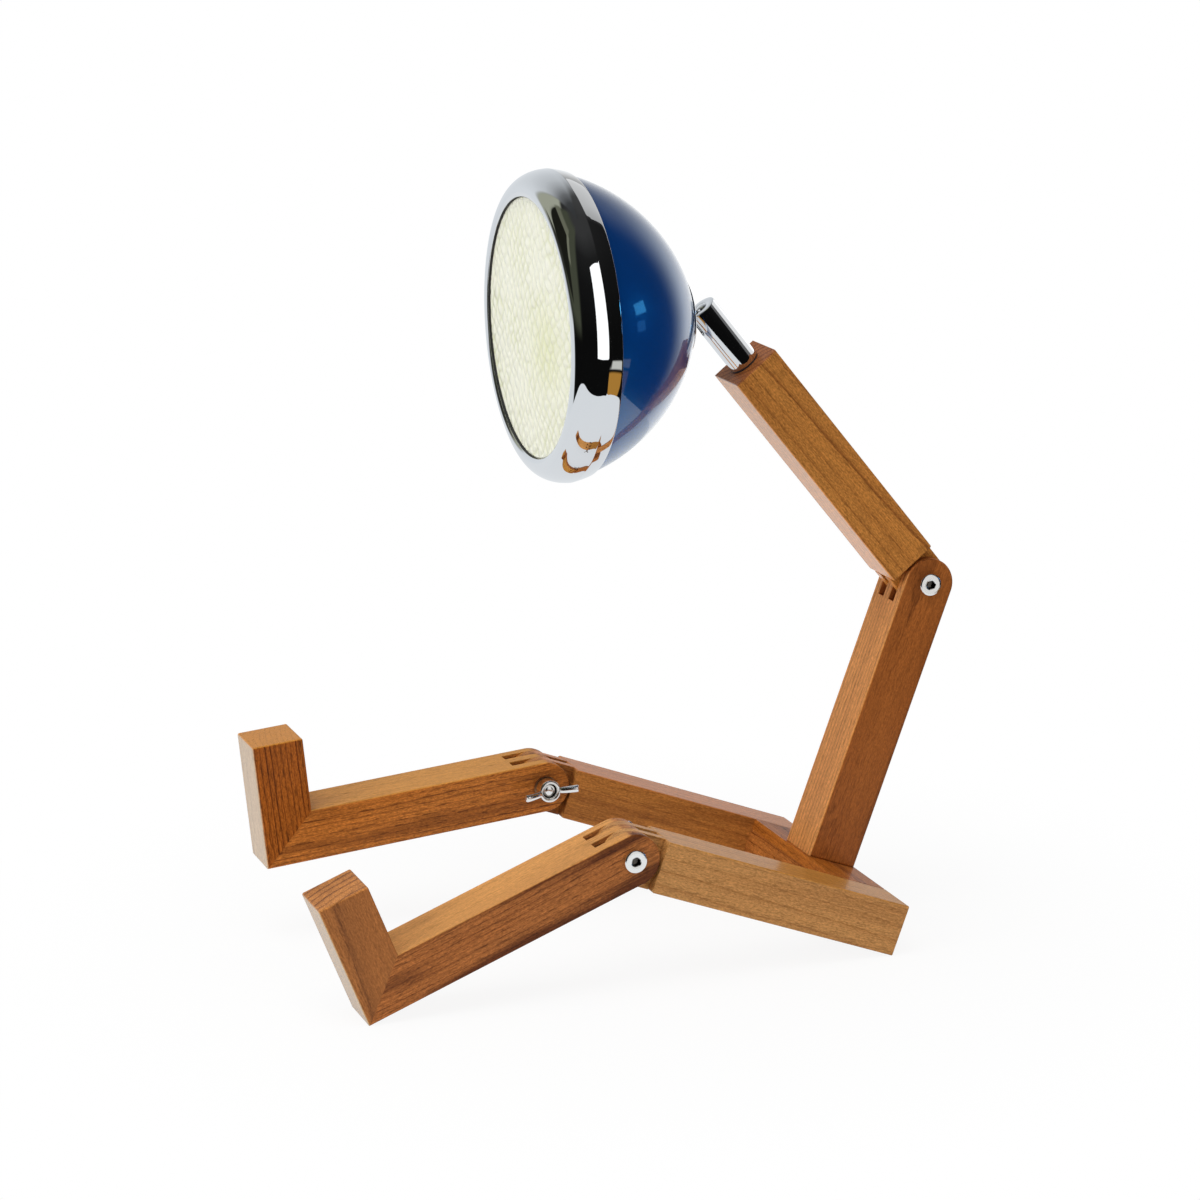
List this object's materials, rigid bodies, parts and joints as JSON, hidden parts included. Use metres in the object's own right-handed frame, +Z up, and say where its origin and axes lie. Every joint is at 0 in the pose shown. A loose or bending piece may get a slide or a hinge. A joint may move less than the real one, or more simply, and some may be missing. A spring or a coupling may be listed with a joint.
{
  "type": "desk lamp",
  "caption": "Seated figure-like desk lamp in oiled wood: hinged legs with feet, torso and arm, and a round blue metal head with a chrome rim on a ball joint.",
  "frame": {"origin": "centre of the lamp's footprint on the table, as it sits", "axes": "+Z up, -Y the way the lamp faces, +X the lamp's left side"},
  "size_m": [0.1366, 0.2854, 0.3135],
  "materials": {
    "wood": "oiled, open grain",
    "dowel_wood": "raw",
    "nickel": "polished nickel plate",
    "steel": "bright zinc",
    "rubber": "matte",
    "chrome": "mirror polished",
    "brass": "turned",
    "nylon": "matte",
    "blue_enamel": "deep gloss",
    "lens_glass": "prism pattern",
    "aluminium": "bright satin",
    "ceramic": "glazed ceramic",
    "bulb_glass": "frosted"
  },
  "bodies": {
    "seat": {"seat_block": "wood", "left_thigh": "wood", "right_thigh": "wood", "seat_dowels": "dowel_wood", "cord_grommet": "rubber", "torso": "wood", "torso_screws": "steel", "shoulder_bolt": "nickel", "shoulder_washer": "nickel"},
    "left_leg": {"left_shin": "wood", "left_foot": "wood", "left_foot_dowels": "dowel_wood", "left_knee_bolt": "nickel", "left_knee_washer": "nickel"},
    "right_leg": {"right_shin": "wood", "right_foot": "wood", "right_foot_dowels": "dowel_wood", "right_knee_bolt": "nickel", "right_knee_washer": "nickel"},
    "left_wing_nut": {"left_knee_wing_nut": "nickel"},
    "right_wing_nut": {"right_knee_wing_nut": "nickel"},
    "shoulder_nut": {"shoulder_wing_nut": "nickel"},
    "arm": {"arm": "wood", "neck_bush": "brass"},
    "neck": {"neck_washer": "nylon", "neck_post": "chrome", "ball_pad": "nylon", "spring_washers": "steel", "neck_spigot": "steel", "neck_clip": "steel"},
    "head": {"ball_stud": "chrome", "rear_plate": "chrome", "shell": "blue_enamel", "bezel": "chrome", "lens_gasket": "rubber", "lens": "lens_glass", "reflector": "aluminium", "bezel_clips": "steel", "holder_bracket": "steel", "stud_washer": "steel", "stud_nut": "steel", "lamp_holder": "ceramic", "holder_screws": "steel", "bulb_base": "ceramic", "bulb_envelope": "bulb_glass"}
  },
  "joints": [
    {"name": "left_knee", "type": "hinge", "parent": "seat", "child": "left_leg", "pos_m": [0.054, -0.0161, 0.05281], "axis": [1, 0, 0], "range_deg": [-132, 48]},
    {"name": "right_knee", "type": "hinge", "parent": "seat", "child": "right_leg", "pos_m": [-0.054, -0.0161, 0.05281], "axis": [1, 0, 0], "range_deg": [-116, 64]},
    {"name": "shoulder", "type": "hinge", "parent": "seat", "child": "arm", "pos_m": [0, 0.13232, 0.13669], "axis": [1, 0, 0], "range_deg": [-149, 30]},
    {"name": "neck_swivel", "type": "hinge", "parent": "arm", "child": "neck", "pos_m": [0, 0.05733, 0.23165], "axis": [0, -0.6198, 0.7848], "range_deg": [-170, 170]},
    {"name": "head_tilt", "type": "hinge", "parent": "neck", "child": "head", "pos_m": [0, 0.04121, 0.25205], "axis": [1, 0, 0], "range_deg": [-50, 33]},
    {"name": "left_wing_nut_turn", "type": "hinge", "parent": "left_leg", "child": "left_wing_nut", "pos_m": [0.054, -0.0161, 0.05281], "axis": [-1, 0, 0], "range_deg": [0, 270]},
    {"name": "right_wing_nut_turn", "type": "hinge", "parent": "right_leg", "child": "right_wing_nut", "pos_m": [-0.054, -0.0161, 0.05281], "axis": [1, 0, 0], "range_deg": [0, 270]},
    {"name": "shoulder_wing_nut_turn", "type": "hinge", "parent": "seat", "child": "shoulder_nut", "pos_m": [0, 0.13232, 0.13669], "axis": [-1, 0, 0], "range_deg": [0, 270]}
  ]
}
